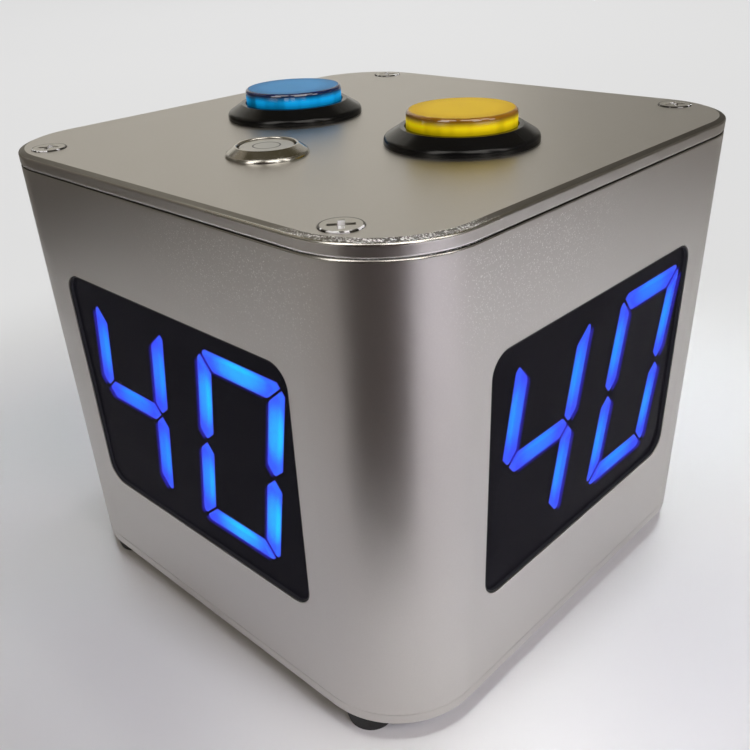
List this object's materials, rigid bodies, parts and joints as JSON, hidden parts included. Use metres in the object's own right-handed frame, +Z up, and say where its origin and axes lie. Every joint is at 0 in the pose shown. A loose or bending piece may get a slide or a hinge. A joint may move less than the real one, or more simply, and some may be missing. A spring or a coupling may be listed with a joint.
{
  "type": "countdown timer",
  "caption": "Cube countdown timer: blasted aluminium case, blue two-digit display behind a smoked window on each side, lit blue and yellow push-buttons and a steel power button on top",
  "frame": {"origin": "Middle of the bounding box's bottom: the rubber feet's undersides are at z = 0 and the case is centred on the Z axis", "axes": "+Z up, the height, which is the shortest side of the box. -Y is the front, the face nearest the power button, seen on the left in the picture; +X is the right face, on the yellow button's side"},
  "size_m": [0.128, 0.128, 0.1197],
  "materials": {
    "blasted_aluminium": "fine bead-blasted, warm silver",
    "screw_steel": "bright plated",
    "foot_rubber": "matt",
    "smoked_window": "gloss, dark smoked",
    "black_plastic": "moulded",
    "lit_stroke": "lit blue",
    "dark_stroke": "unlit, dark grey",
    "circuit_board": "green solder mask",
    "grey_ribbon": "flexible cable",
    "cell_wrap": "shrink wrap",
    "gloss_black": "polished black",
    "blue_cap": "clear tinted, polished",
    "yellow_cap": "clear tinted, polished",
    "white_plastic": "moulded, milky",
    "lamp_glass": "frosted",
    "red_plastic": "moulded",
    "polished_steel": "polished",
    "brushed_steel": "finely brushed"
  },
  "bodies": {
    "case": {"body_sleeve": "blasted_aluminium", "top_plate": "blasted_aluminium", "bottom_plate": "blasted_aluminium", "top_screws": "screw_steel", "bottom_screws": "screw_steel", "board_standoffs": "screw_steel", "board_screws": "screw_steel", "foot_front_left": "foot_rubber", "foot_front_right": "foot_rubber", "foot_back_left": "foot_rubber", "foot_back_right": "foot_rubber", "window_front": "smoked_window", "window_right": "smoked_window", "window_back": "smoked_window", "window_left": "smoked_window", "digit_block_front": "black_plastic", "digit_block_right": "black_plastic", "digit_block_back": "black_plastic", "digit_block_left": "black_plastic", "lit_strokes_front": "lit_stroke", "lit_strokes_right": "lit_stroke", "lit_strokes_back": "lit_stroke", "lit_strokes_left": "lit_stroke", "dark_strokes": "dark_stroke", "display_board_front": "circuit_board", "display_board_right": "circuit_board", "display_board_back": "circuit_board", "display_board_left": "circuit_board", "display_ribbons": "grey_ribbon", "main_board": "circuit_board", "buzzer": "black_plastic", "charging_inlet": "black_plastic", "battery_holder": "black_plastic", "battery_cells": "cell_wrap", "blue_bezel": "gloss_black", "blue_nut": "black_plastic", "blue_spring": "screw_steel", "blue_lamp": "lamp_glass", "blue_lamp_holder": "white_plastic", "blue_switch": "black_plastic", "yellow_bezel": "gloss_black", "yellow_nut": "black_plastic", "yellow_spring": "screw_steel", "yellow_lamp": "lamp_glass", "yellow_lamp_holder": "white_plastic", "yellow_switch": "black_plastic", "power_body": "polished_steel", "power_spring": "screw_steel", "power_seal": "foot_rubber", "power_nut": "screw_steel", "power_base": "black_plastic"},
    "blue_button": {"blue_cap": "blue_cap", "blue_plunger": "white_plastic"},
    "blue_pin": {"blue_switch_pin": "red_plastic"},
    "yellow_button": {"yellow_cap": "yellow_cap", "yellow_plunger": "white_plastic"},
    "yellow_pin": {"yellow_switch_pin": "red_plastic"},
    "power_face": {"power_cap": "brushed_steel"}
  },
  "joints": [
    {"name": "blue_press", "type": "slide", "parent": "case", "child": "blue_button", "axis": [0, 0, -1], "range_m": [0, 0.0022], "stiffness_N_per_m": 300, "springref_m": -0.004, "deforming": ["blue_spring"]},
    {"name": "blue_pin_slide", "type": "slide", "parent": "case", "child": "blue_pin", "axis": [0, 0, -1], "range_m": [0, 0.0022], "stiffness_N_per_m": 60, "springref_m": -0.004},
    {"name": "yellow_press", "type": "slide", "parent": "case", "child": "yellow_button", "axis": [0, 0, -1], "range_m": [0, 0.0022], "stiffness_N_per_m": 300, "springref_m": -0.004, "deforming": ["yellow_spring"]},
    {"name": "yellow_pin_slide", "type": "slide", "parent": "case", "child": "yellow_pin", "axis": [0, 0, -1], "range_m": [0, 0.0022], "stiffness_N_per_m": 60, "springref_m": -0.004},
    {"name": "power_press", "type": "slide", "parent": "case", "child": "power_face", "axis": [0, 0, -1], "range_m": [0, 0.0025], "stiffness_N_per_m": 400, "springref_m": -0.003, "deforming": ["power_spring"]}
  ],
  "couplings": [
    {"joint": "blue_pin_slide", "follows": "blue_press", "ratio": 1},
    {"joint": "yellow_pin_slide", "follows": "yellow_press", "ratio": 1}
  ]
}
